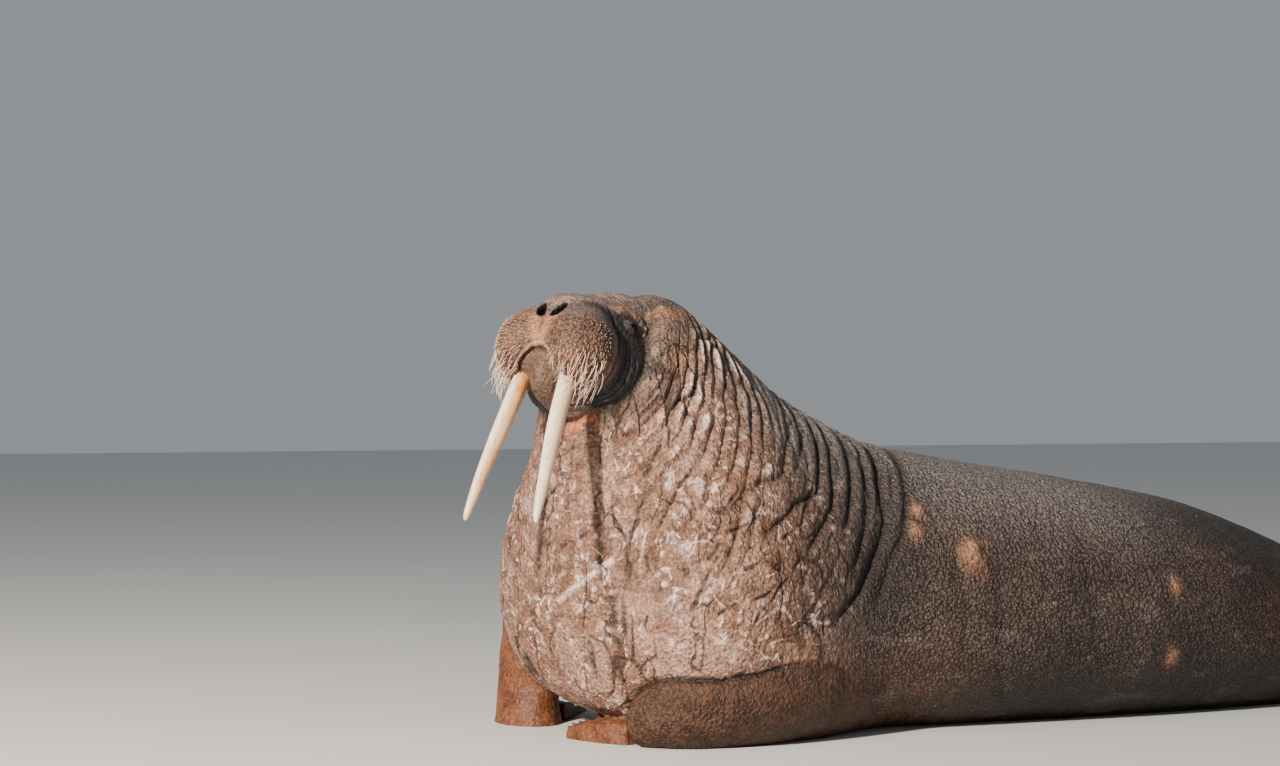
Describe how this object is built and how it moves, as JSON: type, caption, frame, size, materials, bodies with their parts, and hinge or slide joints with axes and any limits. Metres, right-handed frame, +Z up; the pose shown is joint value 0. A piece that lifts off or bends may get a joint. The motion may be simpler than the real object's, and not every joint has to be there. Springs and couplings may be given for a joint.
{
  "type": "walrus",
  "caption": "Bull walrus lying on its belly, head raised and turned to its left, with long tusks and whisker pads; a still life-size figure.",
  "frame": {"origin": "middle of the footprint, on the floor", "axes": "+Z up, -X towards the chest, -Y towards the animal's left side"},
  "size_m": [3.5924, 1.1874, 1.1762],
  "materials": {
    "hide": "thick dry wrinkled hide with short sparse hair",
    "muzzle_skin": "dry leathery skin with stiff whiskers",
    "flipper_skin": "bare skin with a slight sheen",
    "ivory": "polished ivory with fine cracks and stains",
    "eye": "wet and glossy",
    "horn": "dull dark horn"
  },
  "bodies": {
    "root": {"chest": "hide", "claw_fore_left_1": "horn", "claw_fore_left_2": "horn", "claw_fore_left_3": "horn", "claw_fore_left_4": "horn", "claw_fore_left_5": "horn", "claw_fore_right_1": "horn", "claw_fore_right_2": "horn", "claw_fore_right_3": "horn", "claw_fore_right_4": "horn", "claw_fore_right_5": "horn", "claw_hind_left_1": "horn", "claw_hind_left_2": "horn", "claw_hind_left_3": "horn", "claw_hind_left_4": "horn", "claw_hind_left_5": "horn", "claw_hind_right_1": "horn", "claw_hind_right_2": "horn", "claw_hind_right_3": "horn", "claw_hind_right_4": "horn", "claw_hind_right_5": "horn", "eye_left": "eye", "eye_right": "eye", "fore_flipper_left": "flipper_skin", "fore_flipper_right": "flipper_skin", "forearm_left": "flipper_skin", "forearm_right": "flipper_skin", "head": "hide", "hind_flipper_left": "flipper_skin", "hind_flipper_right": "flipper_skin", "hindquarters": "hide", "lower_jaw": "muzzle_skin", "neck": "hide", "tail": "hide", "torso": "hide", "tusk_left": "ivory", "tusk_right": "ivory", "whisker_pad_left": "muzzle_skin", "whisker_pad_right": "muzzle_skin"}
  },
  "joints": []
}
